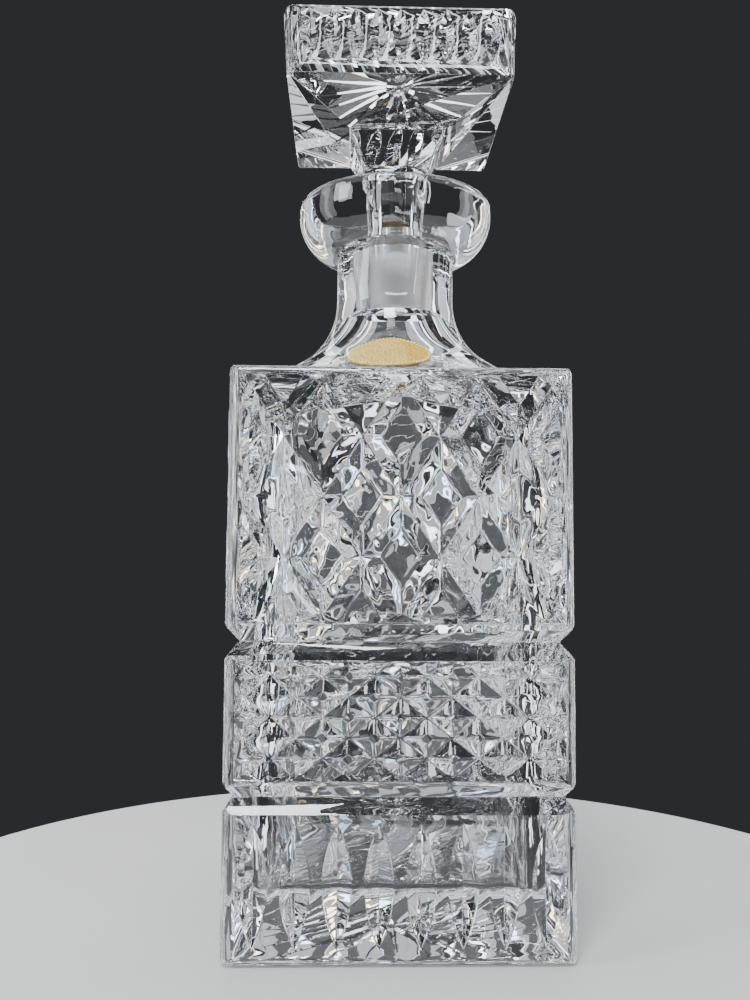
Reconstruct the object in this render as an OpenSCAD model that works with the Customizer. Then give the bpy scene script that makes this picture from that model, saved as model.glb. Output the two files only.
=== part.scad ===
// Cut crystal decanter: square cut bottle, lift-out stopper and an oval foil label.
// Millimetres, +Z up, origin at the centre of the base.

/* [Body] */
// Width of the square body
body_w = 90; // [88:1:92]
// Height of the flat shoulder edge above the base
shoulder_z = 151.5; // [151:0.5:152.5]
// Radius of the upright corners
corner_r = 4; // [3:0.5:6]
// Radius of the bottom edge
foot_r = 3.5; // [2:0.5:4]
// Radius of the shoulder edge
edge_r = 2.5; // [1.5:0.5:2.5]
// Thickness of the side walls
wall = 7; // [6:0.5:9]
// Thickness of the base
base_t = 17; // [12:1:20]
// Radius where the hollow's floor meets its walls
floor_r = 4; // [3:0.5:8]

/* [Girdle grooves] */
// Height of the lower groove's valley
low_groove_z = 41.2; // [40:0.1:43]
// Depth of the lower groove
low_groove_d = 3; // [2:0.5:3.5]
// Half the height of the lower groove
low_groove_h = 3.9; // [3:0.1:4.2]
// Height of the upper groove's valley
high_groove_z = 80.1; // [79.5:0.1:81]
// Depth of the upper groove
high_groove_d = 3.8; // [2:0.1:4]
// Half the height of the upper groove
high_groove_h = 4.6; // [3:0.1:4.8]

/* [Diamond cuts] */
// Sideways distance between star nodes in the upper tier
upper_pitch_x = 20.3; // [20:0.1:20.8]
// Upright distance between like rows of star nodes in the upper tier
upper_pitch_z = 31.2; // [30.8:0.1:31.6]
// Height of an upper star node on the middle line of each side
upper_node_z = 117.4; // [117:0.1:118]
// Depth of the upper tier's cuts
upper_cut_d = 2.2; // [1.5:0.1:2.4]
// Share of each upper diamond that is left flat
upper_flat = 0.5; // [0.4:0.05:0.6]
// Sideways distance between star nodes in the middle tier
middle_pitch_x = 13.2; // [12.8:0.1:13.6]
// Upright distance between like rows of star nodes in the middle tier
middle_pitch_z = 10.2; // [10:0.1:10.4]
// Height of a middle-tier star node on the middle line of each side
middle_node_z = 66.3; // [65.8:0.1:66.8]
// Depth of the middle tier's cuts
middle_cut_d = 1.5; // [1:0.1:1.6]
// Share of each middle diamond that is left flat
middle_flat = 0.26; // [0.2:0.02:0.4]

/* [Mitre cuts] */
// Number of upright mitre cuts on each side of the bottom tier
mitre_count = 8; // [6:2:8]
// Distance between the mitre cuts
mitre_pitch = 10.5; // [10.2:0.1:10.6]
// Height of the pointed tops of the mitre cuts
mitre_top = 35; // [34:0.5:36]
// Height of the pointed bottoms of the mitre cuts
mitre_foot = 5; // [4.5:0.5:8]
// Width of the mitre cuts at the middle of their length
mitre_w = 7.4; // [6.4:0.2:9.6]
// Depth of the mitre cuts at the middle of their length
mitre_d = 2.2; // [1.5:0.1:2.6]

/* [Neck and lip] */
// Radius of the neck
neck_r = 17.7; // [17:0.1:18]
// Height at which the shoulder flare has become the neck
flare_top = 180.5; // [180:0.5:181]
// Radius of the shoulder flare's curve
flare_r = 24; // [23.5:0.5:24.5]
// Height of the rim
rim_z = 210.5; // [210:0.5:212]
// Radius of the outside of the lip's bowl
lip_bowl_r = 13.4; // [13:0.1:13.8]
// Thickness of the lip
lip_t = 3.8; // [3.4:0.1:4]

/* [Plug fit] */
// Radius of the plug at the top of its ground part
plug_top_r = 8; // [7.8:0.1:8.2]
// Radius of the plug at its foot
plug_foot_r = 7.2; // [7:0.1:7.4]
// Length of the ground part
plug_len = 20; // [18:0.5:20]
// Gap between the plug and the neck's bore, all round
plug_gap = 0.05; // [0.02:0.01:0.1]

/* [Stopper] */
// Width of the square block at its lower edge
block_w = 64; // [62:1:66]
// How far each side of the block leans out by its top
block_draft = 1.1; // [0.8:0.1:1.4]
// Height of the block's sides
block_h = 19.5; // [18.5:0.5:20.5]
// Height of the block's lower edge above the base
block_z = 237; // [236:0.5:239]
// Radius of the block's upright corners at the top
block_corner_r = 6; // [5:0.5:7]
// Radius of the block's top edges
block_edge_r = 1.6; // [1:0.2:2]
// Number of lens cuts on each side of the block
lens_count = 9; // [7:2:9]
// Distance between the lens cuts
lens_pitch = 6.4; // [6.2:0.1:6.6]
// Height of each lens cut
lens_h = 15; // [13:0.5:16]
// Width of each lens cut
lens_w = 4.4; // [3.4:0.2:5.4]
// Depth of the lens cuts
lens_d = 1.4; // [1:0.1:1.6]

/* [Star cuts] */
// Number of rays in the star under the base and in the star on the stopper
star_rays = 24; // [16:8:24]
// Depth of the stars at their centre
star_d = 0.8; // [0.6:0.1:1.2]

/* [Label] */
// Width of the oval label
label_w = 23; // [20:1:26]
// Height of the oval label, along the glass
label_h = 20; // [16:1:20]
// How far round to the left of the front the label is stuck, in degrees
label_turn = 5; // [0:1:10]
// Thickness of the foil
label_t = 0.3; // [0.2:0.1:0.4]

/* [Hidden] */
$fn = 96;
half = body_w / 2;
low_groove_bottom = low_groove_z - low_groove_h;
low_groove_top = low_groove_z + low_groove_h;
high_groove_bottom = high_groove_z - high_groove_h;
high_groove_top = high_groove_z + high_groove_h;
// The cut panels stop where the upright corners begin to round
panel_half = half - corner_r + 1;
panel_border = 0.5;
// The shoulder flare is a quarter-round that runs out into a cone of this slope
flare_slope = 33;
flare_c = [neck_r + flare_r, flare_top];
flare_way = [sin(flare_slope), cos(flare_slope)];
flare_foot = flare_c - flare_r * flare_way;
cone_foot_r = flare_foot[0] + (flare_foot[1] - shoulder_z) / tan(flare_slope);
// The hollow follows the flare at this distance, and the square walls below it
shoulder_wall = 9;
ceiling_r = flare_r + shoulder_wall;
ceiling_foot = flare_c - ceiling_r * flare_way;
ceiling_reach = 60;
ceiling_low = ceiling_foot[1] - (ceiling_reach - ceiling_foot[0]) * tan(flare_slope);
hollow_corner_r = 12;
// The lip is a bowl on top of the neck
lip_c = [16, rim_z - 4];
bowl_floor = lip_c[1] - lip_bowl_r + lip_t;
rim_r = lip_c[0] + lip_bowl_r;
// The plug ends a little below the bowl's floor
plug_top = rim_z - 15;
plug_foot = plug_top - plug_len;
throat_z = plug_foot - 3;
throat_step = 0.2;
throat_r = flare_c[0] - sqrt(pow(ceiling_r, 2) - pow(flare_top - throat_z, 2)) - throat_step;
// The stopper's underside is a shallow pyramid, then a steep one, then the round stem
pyramid_half = 14;
pyramid_z = block_z - 7.5;
stem_top_half = 9.8;
stem_top = pyramid_z - 9.5;
stem_waist_r = 7.8;
stem_waist_z = plug_top + 4;
stem_bend_r = 9.2;
stem_bend_z = plug_top + 17;
plug_chamfer = 0.6;
block_top = block_z + block_h;
label_centre_r = 33.3;
// The rays of each star begin inside a shallow dimple
star_start = 4;
dimple_r = 6;
dimple_floor_r = 1;

// What a rounding of radius r takes off an upper right corner at (x, y)
module corner_waste(x, y, r) {
    difference() {
        translate([x - r, y - r])
            square(r + 1);
        translate([x - r, y - r])
            circle(r);
    }
}

module rounded_square(side, r) {
    difference() {
        square(side, center = true);
        for (turn = [0:90:270])
            rotate(turn)
                corner_waste(side / 2, side / 2, r);
    }
}

module on_four_sides() {
    for (turn = [0:90:270])
        rotate(turn)
            children();
}

// Turns an outline drawn in X and Z into a prism along Y
module along_y(length) {
    rotate([90, 0, 0])
        linear_extrude(length, center = true)
            children();
}

// The same outline seen from the front and from the side
module crossed(length) {
    intersection() {
        along_y(length)
            children();
        rotate(90)
            along_y(length)
                children();
    }
}

// ---- bottle

// The right half of the body's outline, from the base to the shoulder
function side_points() = [
    [half, 0],
    [half, low_groove_bottom], [half - low_groove_d, low_groove_z], [half, low_groove_top],
    [half, high_groove_bottom], [half - high_groove_d, high_groove_z], [half, high_groove_top],
    [half, shoulder_z]];

module body_outline() {
    right = side_points();
    left = [for (i = [len(right) - 1:-1:0]) [-right[i][0], right[i][1]]];
    difference() {
        polygon(concat(right, left));
        for (side = [0, 1])
            mirror([side, 0]) {
                corner_waste(half, shoulder_z, edge_r);
                mirror([0, 1])
                    corner_waste(half, 0, foot_r);
            }
    }
}

module square_body() {
    intersection() {
        linear_extrude(shoulder_z)
            rounded_square(body_w, corner_r);
        crossed(body_w + 2)
            body_outline();
    }
}

// Flare, neck and lip, drawn from the axis outwards
module neck_outline() {
    difference() {
        polygon([[0, shoulder_z - 1], [cone_foot_r - 0.01, shoulder_z - 1], [cone_foot_r, shoulder_z],
            flare_foot, [flare_foot[0], flare_top], [neck_r, flare_top],
            [neck_r, bowl_floor], [0, bowl_floor]]);
        translate(flare_c)
            circle(flare_r);
    }
    intersection() {
        translate(lip_c)
            circle(lip_bowl_r);
        translate([0, lip_c[1] - lip_bowl_r])
            square([rim_r, lip_bowl_r]);
    }
    translate(lip_c)
        square([lip_bowl_r, rim_z - lip_c[1] - lip_t / 2]);
    translate([rim_r - lip_t / 2, rim_z - lip_t / 2])
        circle(lip_t / 2);
}

module hollow_outline() {
    difference() {
        polygon([[0, base_t], [ceiling_reach, base_t], [ceiling_reach, ceiling_low], ceiling_foot,
            [ceiling_foot[0], throat_z], [0, throat_z]]);
        translate(flare_c)
            circle(ceiling_r);
    }
    polygon([[0, throat_z - 1], [throat_r, throat_z], [plug_foot_r + plug_gap, plug_foot - 0.5],
        [plug_foot_r + plug_gap, plug_foot], [plug_top_r + plug_gap, plug_top],
        [plug_top_r + plug_gap + 0.8, bowl_floor + 0.1], [0, bowl_floor + 0.1]]);
    translate([0, bowl_floor])
        square([lip_c[0], rim_z]);
    translate(lip_c)
        circle(lip_bowl_r - lip_t);
    translate([0, lip_c[1]])
        square([rim_r - lip_t, rim_z]);
}

// The hollow's outline from the front, with its lower corners rounded
module hollow_sides() {
    inner_half = half - wall;
    difference() {
        translate([-inner_half, base_t])
            square([2 * inner_half, rim_z]);
        for (side = [0, 1])
            mirror([side, 0])
                mirror([0, 1])
                    corner_waste(inner_half, -base_t, floor_r);
    }
}

module hollow() {
    intersection() {
        linear_extrude(rim_z + 2)
            rounded_square(body_w - 2 * wall, hollow_corner_r);
        crossed(body_w)
            hollow_sides();
        rotate_extrude()
            hollow_outline();
    }
}

// One straight V cut in the front face, through (x, z), leaning by the given angle
module v_cut(x, z, lean, half_width, depth, length) {
    over = 0.5;
    reach = half_width * (depth + over) / depth;
    translate([x, -half, z])
        rotate([0, lean, 0])
            linear_extrude(length, center = true)
                polygon([[-reach, -over], [reach, -over], [0, depth]]);
}

// The space that a panel's cuts may take: its four borders slope in at 45 degrees
module panel(z_low, z_high) {
    deep = 4;
    intersection() {
        rotate([90, 0, 90])
            linear_extrude(body_w, center = true)
                polygon([[-half - 1, z_low - 1], [-half + deep, z_low + deep],
                    [-half + deep, z_high - deep], [-half - 1, z_high + 1]]);
        linear_extrude(shoulder_z)
            polygon([[-panel_half - 1, -half - 1], [panel_half + 1, -half - 1],
                [panel_half - deep, -half + deep], [deep - panel_half, -half + deep]]);
    }
}

// Two families of V cuts that cross in star nodes and leave a flat diamond between them
module diamond_cuts(pitch_x, pitch_z, node_z, z_low, z_high, flat_share, depth) {
    lean = atan(pitch_x / pitch_z);
    half_width = (1 - flat_share) * pitch_x * cos(lean) / 2;
    far = max(z_high - node_z, node_z - z_low);
    count = floor((panel_half + far * tan(lean)) / pitch_x);
    length = 2 * far / cos(lean) + 4 * half_width + 10;
    intersection() {
        panel(z_low, z_high);
        for (side = [-1, 1], i = [-count:count])
            v_cut(i * pitch_x, node_z, side * lean, half_width, depth, length);
    }
}

// A cut by a wheel with a V edge: pointed at both ends, deepest in the middle
module lens_cut(x, face, z, height, half_width, depth) {
    wheel_r = (pow(height / 2, 2) + pow(depth, 2)) / (2 * depth);
    thick = half_width * 1.4;
    translate([x, -face - wheel_r + depth, z])
        for (turn = [-90, 90])
            rotate([0, turn, 0])
                cylinder(h = thick, r1 = wheel_r, r2 = wheel_r - thick * depth / half_width);
}

// Rays that are deep at the centre and run out at their tips, in a face at z = 0 looking down
module star_cuts(reach) {
    over = 0.5;
    wide = star_d + over;
    for (i = [0:star_rays - 1]) {
        turn = i * 360 / star_rays;
        tip = reach / max(abs(cos(turn)), abs(sin(turn)));
        fall = atan(star_d / (tip - star_start));
        rotate(turn)
            translate([star_start, 0, star_d])
                rotate([90, 0, 90])
                    rotate([fall, 0, 0])
                        linear_extrude(tip)
                            polygon([[0, 0], [wide, -wide], [-wide, -wide]]);
    }
    translate([0, 0, -over])
        cylinder(h = wide, r1 = dimple_r, r2 = dimple_floor_r);
}

module bottle() {
    color("aliceblue", 0.5)
        difference() {
            union() {
                square_body();
                rotate_extrude()
                    neck_outline();
            }
            hollow();
            on_four_sides() {
                diamond_cuts(upper_pitch_x, upper_pitch_z, upper_node_z,
                    high_groove_top + panel_border, shoulder_z - edge_r, upper_flat, upper_cut_d);
                diamond_cuts(middle_pitch_x, middle_pitch_z, middle_node_z,
                    low_groove_top + panel_border, high_groove_bottom - panel_border,
                    middle_flat, middle_cut_d);
                for (i = [0:mitre_count - 1])
                    lens_cut((i - (mitre_count - 1) / 2) * mitre_pitch, half, (mitre_top + mitre_foot) / 2,
                        mitre_top - mitre_foot, mitre_w / 2, mitre_d);
            }
            star_cuts(half - foot_r - 2);
        }
}

// ---- stopper

module block_outline() {
    q = block_w / 2;
    difference() {
        polygon([[-q, block_z], [-pyramid_half, pyramid_z], [pyramid_half, pyramid_z], [q, block_z],
            [q + block_draft, block_top], [-q - block_draft, block_top]]);
        for (side = [0, 1])
            mirror([side, 0])
                corner_waste(q + block_draft, block_top, block_edge_r);
    }
}

module block() {
    intersection() {
        translate([0, 0, pyramid_z - 1])
            linear_extrude(block_top - pyramid_z + 2)
                rounded_square(block_w + 2 * block_draft, block_corner_r);
        crossed(block_w + 2 * block_draft + 2)
            block_outline();
    }
    crossed(block_w)
        polygon([[-stem_top_half, stem_top], [stem_top_half, stem_top],
            [pyramid_half, pyramid_z], [pyramid_half, pyramid_z + 1],
            [-pyramid_half, pyramid_z + 1], [-pyramid_half, pyramid_z]]);
}

module stem_outline() {
    top_r = stem_top_half - 0.1;
    polygon([[0, plug_foot], [plug_foot_r - plug_chamfer, plug_foot],
        [plug_foot_r, plug_foot + plug_chamfer], [plug_top_r, plug_top],
        [stem_waist_r, stem_waist_z], [stem_bend_r, stem_bend_z],
        [top_r, stem_top], [top_r, stem_top + 1], [0, stem_top + 1]]);
}

module stopper() {
    color("aliceblue", 0.6)
        difference() {
            union() {
                block();
                rotate_extrude()
                    stem_outline();
            }
            on_four_sides()
                for (i = [0:lens_count - 1])
                    lens_cut((i - (lens_count - 1) / 2) * lens_pitch, (block_w + block_draft) / 2,
                        block_z + block_h / 2, lens_h, lens_w / 2, lens_d);
            translate([0, 0, block_top])
                mirror([0, 0, 1])
                    star_cuts(block_w / 2 - 3);
        }
}

// ---- label

// A pointed oval with blunted ends: two wide arcs crossed, closed by a round
module oval(w, h) {
    blunted = 1;
    arc_r = (pow(w / 2 + blunted, 2) + pow(h / 2, 2)) / h;
    intersection() {
        translate([0, arc_r - h / 2])
            circle(arc_r);
        translate([0, h / 2 - arc_r])
            circle(arc_r);
        circle(w / 2);
    }
}

// The flare's surroundings, out to the foil's face
module foil_outline() {
    foil_r = flare_r - label_t;
    foil_foot = flare_c - foil_r * flare_way;
    out = 16 * [cos(flare_slope), -sin(flare_slope)];
    difference() {
        polygon([flare_foot - [12, 0], flare_foot - [2, 2], flare_foot + out, foil_foot + out,
            foil_foot, flare_c - [0, 2], flare_foot + [-12, 18]]);
        translate(flare_c)
            circle(foil_r);
    }
}

module shoulder_label() {
    centre_z = flare_foot[1] - (label_centre_r - flare_foot[0]) * tan(flare_slope);
    color("khaki")
        difference() {
            intersection() {
                rotate_extrude()
                    foil_outline();
                rotate(-label_turn)
                    translate([0, -label_centre_r, centre_z])
                        rotate([flare_slope, 0, 0])
                            linear_extrude(16, center = true)
                                oval(label_w, label_h);
            }
            rotate_extrude()
                neck_outline();
        }
}

bottle();
stopper();
shoulder_label();
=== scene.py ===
"""Cut crystal decanter: the square bottle, its lift-out stopper and the foil label, on a pale floor."""

import math

import bmesh
import bpy
from mathutils import Matrix, Vector
from mathutils.bvhtree import BVHTree


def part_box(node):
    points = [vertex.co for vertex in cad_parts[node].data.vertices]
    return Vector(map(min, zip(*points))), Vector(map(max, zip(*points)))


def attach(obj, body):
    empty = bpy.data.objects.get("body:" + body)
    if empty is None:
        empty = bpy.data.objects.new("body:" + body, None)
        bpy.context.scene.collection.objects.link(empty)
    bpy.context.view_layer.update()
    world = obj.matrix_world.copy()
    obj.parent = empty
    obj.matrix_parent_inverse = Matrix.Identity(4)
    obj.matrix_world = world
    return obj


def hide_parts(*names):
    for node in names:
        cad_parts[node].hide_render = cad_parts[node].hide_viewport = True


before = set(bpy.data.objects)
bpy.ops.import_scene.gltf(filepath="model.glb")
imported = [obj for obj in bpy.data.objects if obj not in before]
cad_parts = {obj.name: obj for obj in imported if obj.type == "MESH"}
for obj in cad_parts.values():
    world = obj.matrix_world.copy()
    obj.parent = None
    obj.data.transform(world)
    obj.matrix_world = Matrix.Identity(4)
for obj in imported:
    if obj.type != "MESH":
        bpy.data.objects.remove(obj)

bl_info = {
    "name": "Cut crystal decanter",
    "version": (1, 0, 0),
    "blender": (4, 5, 0),
    "location": "View3D > Sidebar > Decanter",
    "description": "Builds a cut crystal decanter around its packed frame",
    "category": "Object",
}

MM = 0.001
CRYSTAL_IOR = 1.545
FLOOR_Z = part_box("bottle")[0].z
PLUG_FOOT_Z, TOP_Z = (corner.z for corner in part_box("stopper"))

# The glass's material slots after the first, which is the clear crystal
GROUND_SLOT, HOLLOW_SLOT = 1, 2

# The ground zone, where the plug sits in the neck: its height above the plug's foot, and its radius
GROUND_H, GROUND_R, GROUND_SLACK = 20.4 * MM, 10.2 * MM, 0.6 * MM

# Facets that turn less than this are one facet
FLAT_WITHIN = math.radians(0.3)
# How much of an edge's length and of a facet's width its rounding may take, and how much room two edges
# that meet have between them: this many times the sine of half their angle
LENGTH_SHARE = 0.12
ROOM_SHARE = 0.4
CORNER_SHARE = 1.2
# A valley gets this share of a ridge's rounding, and an edge with less than the least share stays sharp
VALLEY_SHARE = 0.35
LEAST_SHARE = 0.08
# The stars in the base and in the stopper's top are a little shallower than this
STAR_DEPTH = 0.9 * MM

# The hollow's walls: they stay inside this half-width and between these heights
HOLLOW_HALF, HOLLOW_LOW, HOLLOW_HIGH = 39.5 * MM, 16.5 * MM, 150 * MM
# Their waves are weak in the bottom tier and grow to their full depth between these heights
WAVES_LOW, WAVES_HIGH = 35 * MM, 48 * MM
WAVES_WEAK, WAVES_DEPTH = 0.25, 0.8 * MM

# The label faces out and up at right angles to the shoulder's cone, and sits a little to the left
LABEL_SLOPE = math.radians(33)
LABEL_TURN = math.radians(-5)
LABEL_R = 33.3 * MM
LABEL_W, LABEL_H = 23 * MM, 20 * MM
LABEL_BLUNTED = 1 * MM
BEAD_COUNT = 60
# Beads are dropped on the label from this far off
DROP = 20 * MM
# To the right of this line, where the foil is creased, it is painted a deeper gold: painted shade of the
# creased side
FOLD_SHADE_X, FOLD_SHADE_W = 1.5 * MM, 0.6 * MM

# The floor lies just under the decanter's foot, and its mottling is this much darker
FLOOR_GAP = 0.02 * MM
FLOOR_SHADE = 0.97

# The lights face this point
LIGHT_CENTRE = Vector((0, 0, 0.12))
# Each light: its name, azimuth and elevation in degrees, distance, width and height in metres, brightness
# and colour. Azimuth 0 is the front and 90 the right. Thin bright slits give the glints on the cuts, and
# wide dim panels lift the facets between them.
LIGHTS = (
    ("top_light", 180, 80, 0.75, (0.6, 0.5), 2.4, "daylight"),
    ("haze_behind", 180, 0, 1.05, (0.34, 0.9), 0.09, "daylight"),
    ("glow_left", -164, 0, 1.0, (0.24, 0.9), 0.7, "daylight"),
    ("glow_right", 164, 0, 1.0, (0.24, 0.9), 0.7, "daylight"),
    ("inner_left", -163, 6, 0.9, (0.025, 0.6), 6.0, "warm"),
    ("inner_right", 165, 2, 0.9, (0.025, 0.6), 6.0, "cool"),
    ("edge_left", -153, 8, 1.0, (0.05, 0.9), 5.0, "daylight"),
    ("edge_right", 153, 8, 1.0, (0.05, 0.9), 5.0, "daylight"),
    ("behind_left", -138, 5, 0.95, (0.28, 0.9), 1.0, "daylight"),
    ("behind_right", 138, 5, 0.95, (0.28, 0.9), 1.0, "daylight"),
    ("slit_left", -128, 0, 0.9, (0.03, 0.8), 7.0, "cool"),
    ("slit_right", 130, 10, 0.9, (0.03, 0.8), 7.0, "warm"),
    ("side_left", -92, 10, 0.8, (0.20, 0.8), 2.6, "daylight"),
    ("side_right", 92, 10, 0.8, (0.20, 0.8), 2.6, "daylight"),
    ("high_behind", 180, 42, 1.0, (0.9, 0.12), 3.4, "daylight"),
    ("window", -66, 20, 0.8, (0.26, 0.34), 11.0, "daylight"),
    ("front_slit", 36, 8, 0.8, (0.03, 0.6), 18.0, "daylight"),
    ("front_strip", 0, 30, 0.8, (0.55, 0.035), 22.0, "daylight"),
    ("front_high", -14, 56, 0.8, (0.2, 0.2), 42.0, "daylight"),
    ("front_glow_left", -17, 0, 1.0, (0.24, 0.9), 0.5, "daylight"),
    ("front_glow_right", 17, 0, 1.0, (0.24, 0.9), 0.5, "daylight"),
)

# The camera: where it stands, and how it is turned, tipped up and rolled
CAMERA_AT = Vector((-13.1, -290.4, 97.4)) * MM
CAMERA_HEADING = math.radians(1.46)
CAMERA_TIP = math.radians(4.41)
CAMERA_ROLL = math.radians(0.34)
CAMERA_LENS = 34.6
CAMERA_CLIP = 0.01

# How often light may bounce, and pass through glass, before it is given up
BOUNCES, GLOSSY_BOUNCES = 32, 16


# ---- shader graphs


class Value:
    """A value socket; adding, subtracting or multiplying it adds a Math node."""

    def __init__(self, graph, socket):
        self.graph, self.socket = graph, socket

    def joined(self, operation, *values):
        inputs = dict(enumerate(values))
        return self.graph.value("ShaderNodeMath", {"operation": operation}, inputs)

    def __add__(self, other):
        return self.joined("ADD", self, other)

    def __radd__(self, other):
        return self.joined("ADD", other, self)

    def __sub__(self, other):
        return self.joined("SUBTRACT", self, other)

    def __rsub__(self, other):
        return self.joined("SUBTRACT", other, self)

    def __mul__(self, other):
        return self.joined("MULTIPLY", self, other)

    def __rmul__(self, other):
        return self.joined("MULTIPLY", other, self)


class Graph:
    """The nodes of one material, around its Principled shader."""

    def __init__(self, name):
        self.material = bpy.data.materials.new(name)
        self.material.use_nodes = True
        self.tree = self.material.node_tree
        self.tree.nodes.clear()
        self.shader = self.node("ShaderNodeBsdfPrincipled", {}, {})
        output = self.node("ShaderNodeOutputMaterial", {}, {})
        self.tree.links.new(self.shader.outputs["BSDF"], output.inputs["Surface"])
        self.place = self.node("ShaderNodeTexCoord", {}, {}).outputs["Object"]

    def node(self, kind, settings, inputs):
        """A node of any kind: its settings first, then the values or links of its sockets."""
        made = self.tree.nodes.new(kind)
        for key, setting in settings.items():
            setattr(made, key, setting)
        self.feed(made, inputs)
        return made

    def feed(self, node, inputs):
        for key, given in inputs.items():
            given = given.socket if isinstance(given, Value) else given
            if isinstance(given, bpy.types.NodeSocket):
                self.tree.links.new(given, node.inputs[key])
            else:
                node.inputs[key].default_value = given

    def value(self, kind, settings, inputs, output=0):
        return Value(self, self.node(kind, settings, inputs).outputs[output])

    def finish(self, **inputs):
        """Sets the Principled shader's sockets; a name's underscores stand for spaces."""
        self.feed(self.shader, {key.replace("_", " "): given for key, given in inputs.items()})
        return self.material

    def noise(self, scale, detail=2, distortion=0.0):
        inputs = {"Vector": self.place, "Scale": scale, "Detail": detail, "Distortion": distortion}
        return self.value("ShaderNodeTexNoise", {}, inputs, "Fac")

    def range(self, given, low, high, to_low, to_high):
        inputs = {"Value": given, "From Min": low, "From Max": high, "To Min": to_low, "To Max": to_high}
        return self.value("ShaderNodeMapRange", {}, inputs, "Result")

    def blend(self, share, first, second):
        """Two colours mixed by a share from 0 to 1."""
        inputs = {0: share, 6: first, 7: second}
        return self.node("ShaderNodeMix", {"data_type": "RGBA"}, inputs).outputs[2]

    def bump(self, height, distance, strength=1.0, before=None):
        inputs = {"Height": height, "Distance": distance, "Strength": strength}
        if before is not None:
            inputs["Normal"] = before
        return self.node("ShaderNodeBump", {}, inputs).outputs["Normal"]


def rgba(colour):
    return (*colour, 1.0)


def crystal(graph, tint, roughness, normal):
    """Finishes a kind of glass: all of them bend light alike, and differ in tint, haze and surface."""
    return graph.finish(
        Base_Color=tint, Roughness=roughness, IOR=CRYSTAL_IOR, Transmission_Weight=1.0, Normal=normal
    )


def faint_tint(graph, colours):
    return graph.blend(graph.noise(18, 1), rgba(colours.crystal), rgba(colours.crystal_cool))


def clear_crystal(colours):
    """Polished lead crystal: faint haze from handling, and a surface that is not quite flat."""
    graph = Graph("clear_crystal")
    haze = graph.range(graph.noise(60, 3, 0.4), 0.5, 0.75, 0.0, 0.035)
    streaks = graph.range(graph.noise(220, 2), 0.62, 0.8, 0.0, 0.02)
    waves = graph.bump(graph.noise(95, 1), 0.12 * MM, 0.6)
    return crystal(graph, faint_tint(graph, colours), haze + streaks, waves)


def blown_crystal(colours):
    """The wall of the hollow, whose soft waves follow the cuts outside and bend what is behind them."""
    graph = Graph("blown_crystal")
    height = graph.value("ShaderNodeSeparateXYZ", {}, {"Vector": graph.place}, "Z")
    depth = graph.range(height, WAVES_LOW, WAVES_HIGH, WAVES_WEAK, 1.0)
    waves = graph.bump(graph.noise(130, 1, 0.2) * depth, WAVES_DEPTH)
    haze = graph.range(graph.noise(60, 3, 0.4), 0.5, 0.75, 0.0, 0.03)
    return crystal(graph, faint_tint(graph, colours), haze, waves)


def ground_crystal(colours):
    """Satin ground glass, where the plug seals in the neck."""
    graph = Graph("ground_crystal")
    grain = graph.noise(5200, 2)
    rings = graph.node(
        "ShaderNodeTexWave",
        {"wave_type": "BANDS", "bands_direction": "Z"},
        {"Vector": graph.place, "Scale": 260, "Distortion": 1.5, "Detail": 2},
    ).outputs["Fac"]
    rough = graph.range(graph.noise(900, 2), 0.3, 0.7, 0.32, 0.48)
    grained = graph.bump(grain, 0.05 * MM, 0.5, graph.bump(rings, 0.02 * MM, 0.3))
    return crystal(graph, rgba(colours.ground), rough, grained)


def gold_foil(colours):
    """Embossed foil: a fine stipple of raised dots, warm gold, paler where worn, with painted highlights
    that make the dots' tops paler and painted shade right of the crease.
    """
    graph = Graph("gold_foil")
    dots = graph.value(
        "ShaderNodeTexVoronoi",
        {"feature": "F1"},
        {"Vector": graph.place, "Scale": 850, "Randomness": 0.7},
        "Distance",
    )
    raised = graph.range(dots, 0.1, 0.55, 1.0, 0.0)
    worn = graph.range(graph.noise(320, 3), 0.35, 0.65, 0.0, 1.0)
    across = graph.value("ShaderNodeSeparateXYZ", {}, {"Vector": graph.place}, "X")
    # Painted shade: right of the crease line the foil is painted a deeper gold
    painted_fold_shade = graph.range(across, FOLD_SHADE_X, FOLD_SHADE_X + FOLD_SHADE_W, 0.0, 0.7)
    # The raised dots' tops are painted paler as painted highlight, on top of real wear; right of the crease
    # all is painted deeper as painted shade
    wear_and_painted_light = (raised * 0.5 + worn * 0.25 + 0.25) * (1 - painted_fold_shade)
    return graph.finish(
        Base_Color=graph.blend(wear_and_painted_light, rgba(colours.foil), rgba(colours.foil_pale)),
        Metallic=0.15,
        Roughness=graph.range(worn, 0.0, 1.0, 0.36, 0.5),
        Normal=graph.bump(raised, 0.5 * MM, 1.0),
    )


def bead_gold(colours):
    """The beads on the foil's border, rubbed bright."""
    graph = Graph("bead_gold")
    worn = graph.range(graph.noise(600, 2), 0.35, 0.65, 0.0, 1.0)
    return graph.finish(
        Base_Color=graph.blend(worn, rgba(colours.bead), rgba(colours.foil_pale)),
        Metallic=0.3,
        Roughness=graph.range(worn, 0.0, 1.0, 0.25, 0.4),
    )


def floor_paint(colours):
    """Matt pale paint, faintly mottled."""
    graph = Graph("pale_floor")
    mottle = graph.range(graph.noise(9, 4), 0.3, 0.7, 0.0, 1.0)
    shade = tuple(channel * FLOOR_SHADE for channel in colours.floor)
    return graph.finish(
        Base_Color=graph.blend(mottle, rgba(colours.floor), rgba(shade)),
        Roughness=graph.range(graph.noise(40, 3), 0.3, 0.7, 0.55, 0.65),
    )


# ---- shapes


def as_object(name, shape, materials):
    mesh = bpy.data.meshes.new(name)
    shape.to_mesh(mesh)
    shape.free()
    for material in materials:
        mesh.materials.append(material)
    made = bpy.data.objects.new(name, mesh)
    bpy.context.scene.collection.objects.link(made)
    return made


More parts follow.
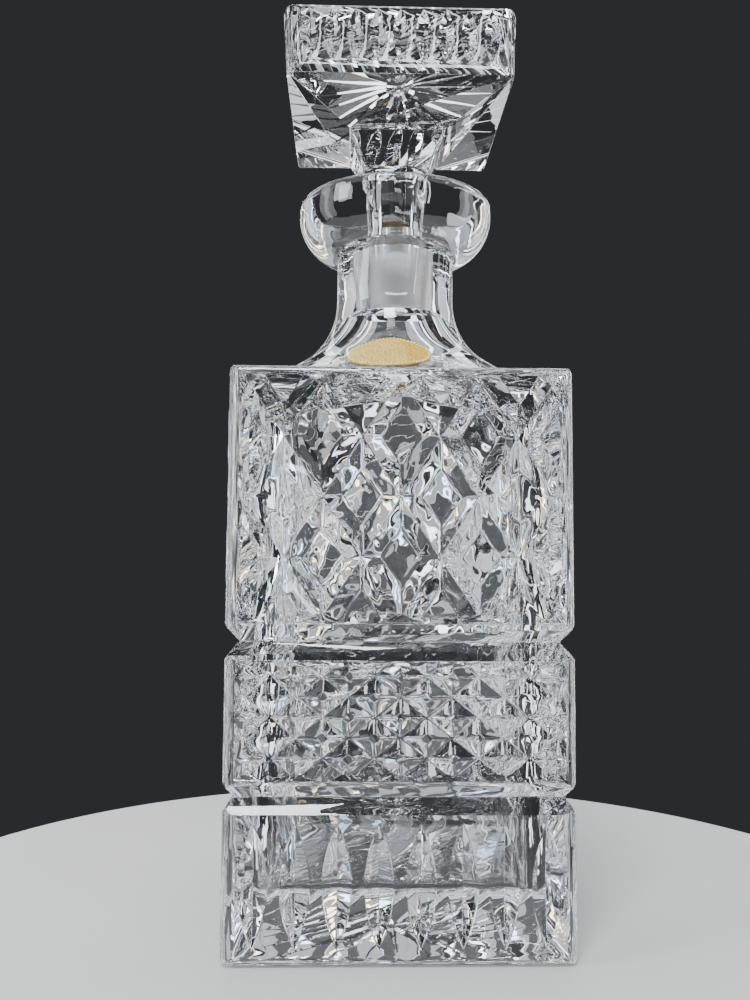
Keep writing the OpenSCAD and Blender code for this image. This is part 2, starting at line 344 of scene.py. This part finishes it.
def room_beside(edge, face):
    """The widest rounding that this edge has room for in one of its faces."""
    here, there = (vert.co for vert in edge.verts)
    length = (there - here).length
    way = (there - here) / length
    room = length * LENGTH_SHARE / ROOM_SHARE
    for loop in face.loops:
        if loop.vert in edge.verts:
            continue
        off = loop.vert.co - here
        along = max(0.0, min(length, off.dot(way)))
        room = min(room, (off - way * along).length)
    for vert in edge.verts:
        for other in vert.link_edges:
            if other is edge or face not in other.link_faces:
                continue
            turn = (edge.other_vert(vert).co - vert.co).angle(other.other_vert(vert).co - vert.co, 0.0)
            room = min(room, min(length, other.calc_length()) * math.sin(turn / 2) * CORNER_SHARE)
    return room * ROOM_SHARE


def mark_edges(shape, sizes, star_z):
    """Gives each cut edge its share of the rounding; an edge without room, or of a star, stays sharp."""
    weight = shape.edges.layers.float.new("bevel_weight_edge")
    for edge in shape.edges:
        if len(edge.link_faces) != 2 or edge.calc_face_angle(0.0) < sizes.edge_angle:
            continue
        if any(abs(vert.co.z - star_z) < STAR_DEPTH for vert in edge.verts):
            edge.smooth = False
            continue
        room = min(room_beside(edge, face) for face in edge.link_faces)
        share = min(1.0, room / sizes.edge)
        if not edge.is_convex:
            share *= VALLEY_SHARE
        if share < LEAST_SHARE:
            edge.smooth = False
        else:
            edge[weight] = share


def cut_shape(node, sizes, star_z):
    """A copy of a node's solid: its triangles joined into whole facets, and every cut edge marked."""
    shape = bmesh.new()
    shape.from_mesh(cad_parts[node].data)
    bmesh.ops.remove_doubles(shape, verts=shape.verts, dist=sizes.join_within)
    bmesh.ops.dissolve_degenerate(shape, edges=shape.edges, dist=sizes.join_within)
    bmesh.ops.dissolve_limit(
        shape,
        angle_limit=FLAT_WITHIN,
        verts=shape.verts,
        edges=shape.edges,
        use_dissolve_boundaries=False,
        delimit=set(),
    )
    mark_edges(shape, sizes, star_z)
    for face in shape.faces:
        face.smooth = True
        centre = face.calc_center_median()
        round_the_plug = math.hypot(centre.x, centre.y) < GROUND_R
        above_foot = centre.z - PLUG_FOOT_Z
        if round_the_plug and -GROUND_SLACK < above_foot < GROUND_H:
            face.material_index = GROUND_SLOT
        elif node == "bottle" and in_hollow(centre):
            face.material_index = HOLLOW_SLOT
    return shape


def in_hollow(point):
    across = max(abs(point.x), abs(point.y))
    return across < HOLLOW_HALF and HOLLOW_LOW < point.z < HOLLOW_HIGH


def polished(piece, sizes):
    """Cut edges are a little rounded by the acid polish."""
    bevel = piece.modifiers.new("polished_edges", "BEVEL")
    bevel.width = sizes.edge
    bevel.segments = 2
    bevel.profile = 0.5
    bevel.limit_method = "WEIGHT"
    bevel.use_clamp_overlap = False
    bevel.harden_normals = True


def oval_points(width, height, count):
    """Points round a pointed oval with blunted ends, in its own plane."""
    arc_r = ((width / 2 + LABEL_BLUNTED) ** 2 + (height / 2) ** 2) / height
    rise = arc_r - height / 2
    points = []
    for i in range(count):
        turn = 2 * math.pi * i / count
        way = Vector((math.cos(turn), math.sin(turn)))
        # Where the ray from the centre leaves the arc on the far side, or the blunted end
        along = abs(way.y) * rise
        reach = -along + math.sqrt(along * along + arc_r * arc_r - rise * rise)
        points.append(way * min(reach, width / 2))
    return points


def label_beads(sizes):
    """A row of beads round the label's edge, each seated on the foil."""
    foil = bmesh.new()
    foil.from_mesh(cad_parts["shoulder_label"].data)
    surface = BVHTree.FromBMesh(foil)
    turned = Matrix.Rotation(LABEL_TURN, 3, "Z")
    right = turned @ Vector((1, 0, 0))
    out = turned @ Vector((0, -math.sin(LABEL_SLOPE), math.cos(LABEL_SLOPE)))
    up = turned @ Vector((0, math.cos(LABEL_SLOPE), math.sin(LABEL_SLOPE)))
    centre = surface.ray_cast(turned @ Vector((0, -LABEL_R, TOP_Z)), Vector((0, 0, -1)))[0]
    inset = 2 * sizes.bead
    beads = bmesh.new()
    for point in oval_points(LABEL_W - inset, LABEL_H - inset, BEAD_COUNT):
        start = centre + right * point.x + up * point.y + out * DROP
        seat = surface.ray_cast(start, -out)[0]
        if seat is None:
            continue
        place = Matrix.Translation(seat)
        bmesh.ops.create_icosphere(beads, subdivisions=1, radius=sizes.bead, matrix=place)
    foil.free()
    for face in beads.faces:
        face.smooth = True
    return beads


# ---- the user's sizes and colours


class DecanterSizes(bpy.types.PropertyGroup):
    edge: bpy.props.FloatProperty(
        name="Edge rounding",
        description="Width of the polish on each cut edge",
        default=0.75 * MM,
        min=0.05 * MM,
        max=0.9 * MM,
        unit="LENGTH",
    )
    edge_angle: bpy.props.FloatProperty(
        name="Edge angle",
        description="Edges that turn more than this are cut edges",
        default=math.radians(16),
        subtype="ANGLE",
    )
    join_within: bpy.props.FloatProperty(
        name="Join within",
        description="Corners closer together than this become one",
        default=0.02 * MM,
        unit="LENGTH",
    )
    bead: bpy.props.FloatProperty(
        name="Label bead",
        description="Radius of the beads round the label",
        default=0.48 * MM,
        unit="LENGTH",
    )
    floor: bpy.props.FloatProperty(
        name="Floor",
        description="Radius of the floor",
        default=0.16,
        unit="LENGTH",
    )


def colour_choice(name, description, default):
    return bpy.props.FloatVectorProperty(
        name=name, description=description, default=default, subtype="COLOR", min=0, max=1
    )


class DecanterColours(bpy.types.PropertyGroup):
    crystal: colour_choice("Crystal", "Tint of the crystal", (1.0, 1.0, 1.0))
    crystal_cool: colour_choice("Cool crystal", "Tint where the crystal is cooler", (0.965, 0.98, 1.0))
    ground: colour_choice("Ground glass", "Tint of the ground plug and bore", (0.96, 0.97, 0.97))
    foil: colour_choice("Foil", "Deep gold of the label", (0.90, 0.50, 0.04))
    foil_pale: colour_choice("Pale foil", "Worn and raised gold of the label", (1.0, 0.81, 0.30))
    bead: colour_choice("Beads", "Rubbed gold of the label's beads", (1.0, 0.93, 0.66))
    floor: colour_choice("Floor", "Colour of the floor", (0.80, 0.79, 0.77))
    backdrop: colour_choice("Backdrop", "Colour all round the stage", (0.028, 0.030, 0.033))
    daylight: colour_choice("Light", "Colour of the plain lights", (0.94, 0.97, 1.0))
    warm: colour_choice("Warm light", "Colour of the warm lights", (1.0, 0.78, 0.52))
    cool: colour_choice("Cool light", "Colour of the cool lights", (0.50, 0.70, 1.0))


# ---- operators


def shared(recipe, colours):
    """The material of the recipe's name, which both pieces of glass share."""
    return bpy.data.materials.get(recipe.__name__) or recipe(colours)


class DECANTER_OT_bottle(bpy.types.Operator):
    """Build the square cut bottle with its neck and lip"""

    bl_idname = "decanter.bottle"
    bl_label = "Cut bottle"

    def execute(self, context):
        sizes, colours = context.scene.decanter_sizes, context.scene.decanter_colours
        materials = [shared(clear_crystal, colours), shared(ground_crystal, colours), blown_crystal(colours)]
        bottle = as_object("cut_bottle", cut_shape("bottle", sizes, FLOOR_Z), materials)
        polished(bottle, sizes)
        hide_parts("bottle")
        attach(bottle, "bottle")
        return {"FINISHED"}


class DECANTER_OT_stopper(bpy.types.Operator):
    """Build the square stopper with its stem and ground plug"""

    bl_idname = "decanter.stopper"
    bl_label = "Stopper"

    def execute(self, context):
        sizes, colours = context.scene.decanter_sizes, context.scene.decanter_colours
        materials = [shared(clear_crystal, colours), shared(ground_crystal, colours)]
        stopper = as_object("cut_stopper", cut_shape("stopper", sizes, TOP_Z), materials)
        polished(stopper, sizes)
        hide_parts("stopper")
        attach(stopper, "stopper")
        return {"FINISHED"}


class DECANTER_OT_label(bpy.types.Operator):
    """Dress the foil label and bead its edge"""

    bl_idname = "decanter.label"
    bl_label = "Foil label"

    def execute(self, context):
        sizes, colours = context.scene.decanter_sizes, context.scene.decanter_colours
        foil = gold_foil(colours)
        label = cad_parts["shoulder_label"]
        label.data.materials.clear()
        label.data.materials.append(foil)
        beads = as_object("label_beads", label_beads(sizes), [bead_gold(colours)])
        if not beads.data.vertices:
            raise RuntimeError("no bead met the label")
        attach(beads, "bottle")
        return {"FINISHED"}


def soft_light(name, azimuth, elevation, distance, size, brightness, colour):
    """A panel of even light that faces the decanter; the camera doesn't see the panel itself."""
    turn, lift = math.radians(azimuth), math.radians(elevation)
    way = Vector((math.sin(turn) * math.cos(lift), -math.cos(turn) * math.cos(lift), math.sin(lift)))
    light = bpy.data.lights.new(name, "AREA")
    light.shape = "RECTANGLE"
    light.size, light.size_y = size
    light.energy = brightness * math.pi * size[0] * size[1]
    light.color = colour
    made = bpy.data.objects.new(name, light)
    made.location = LIGHT_CENTRE + way * distance
    made.rotation_euler = (-way).to_track_quat("-Z", "Y").to_euler()
    made.visible_camera = False
    bpy.context.scene.collection.objects.link(made)


class DECANTER_OT_stage(bpy.types.Operator):
    """Lay the floor, hang the lights and set up the camera"""

    bl_idname = "decanter.stage"
    bl_label = "Stage"

    def execute(self, context):
        scene = context.scene
        sizes, colours = scene.decanter_sizes, scene.decanter_colours
        floor = bmesh.new()
        bmesh.ops.create_circle(floor, cap_ends=True, radius=sizes.floor, segments=96)
        bmesh.ops.translate(floor, verts=floor.verts, vec=(0, 0, FLOOR_Z - FLOOR_GAP))
        ground = as_object("floor", floor, [floor_paint(colours)])
        # The crystal shows the dark backdrop, and not the floor, so that its cuts stand out
        ground.visible_transmission = False
        world = bpy.data.worlds.new("backdrop")
        world.use_nodes = True
        world.node_tree.nodes["Background"].inputs["Color"].default_value = rgba(colours.backdrop)
        scene.world = world
        for *settings, colour in LIGHTS:
            soft_light(*settings, getattr(colours, colour))
        camera = bpy.data.objects.new("camera", bpy.data.cameras.new("camera"))
        camera.data.lens = CAMERA_LENS
        camera.data.clip_start = CAMERA_CLIP
        turned = (
            Matrix.Rotation(CAMERA_ROLL, 3, "Y")
            @ Matrix.Rotation(-CAMERA_TIP, 3, "X")
            @ Matrix.Rotation(CAMERA_HEADING, 3, "Z")
        )
        right, ahead, up = turned
        axes = Matrix((right, up, -ahead)).transposed()
        camera.matrix_world = Matrix.Translation(CAMERA_AT) @ axes.to_4x4()
        scene.collection.objects.link(camera)
        scene.camera = camera
        scene.cycles.max_bounces = BOUNCES
        scene.cycles.transmission_bounces = BOUNCES
        scene.cycles.glossy_bounces = GLOSSY_BOUNCES
        return {"FINISHED"}


OPERATORS = (DECANTER_OT_bottle, DECANTER_OT_stopper, DECANTER_OT_label, DECANTER_OT_stage)


class DECANTER_PT_build(bpy.types.Panel):
    bl_label = "Decanter"
    bl_space_type = "VIEW_3D"
    bl_region_type = "UI"
    bl_category = "Decanter"

    def draw(self, context):
        for group in (context.scene.decanter_sizes, context.scene.decanter_colours):
            for key in group.__annotations__:
                self.layout.prop(group, key)
        for operator in OPERATORS:
            self.layout.operator(operator.bl_idname)


CLASSES = (DecanterSizes, DecanterColours, *OPERATORS, DECANTER_PT_build)


def register():
    for each in CLASSES:
        bpy.utils.register_class(each)
    bpy.types.Scene.decanter_sizes = bpy.props.PointerProperty(type=DecanterSizes)
    bpy.types.Scene.decanter_colours = bpy.props.PointerProperty(type=DecanterColours)


def unregister():
    del bpy.types.Scene.decanter_colours
    del bpy.types.Scene.decanter_sizes
    for each in reversed(CLASSES):
        bpy.utils.unregister_class(each)


def main():
    register()
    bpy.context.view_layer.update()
    bpy.ops.decanter.bottle()
    bpy.ops.decanter.stopper()
    bpy.ops.decanter.label()
    bpy.ops.decanter.stage()


if __name__ == "__main__":
    main()
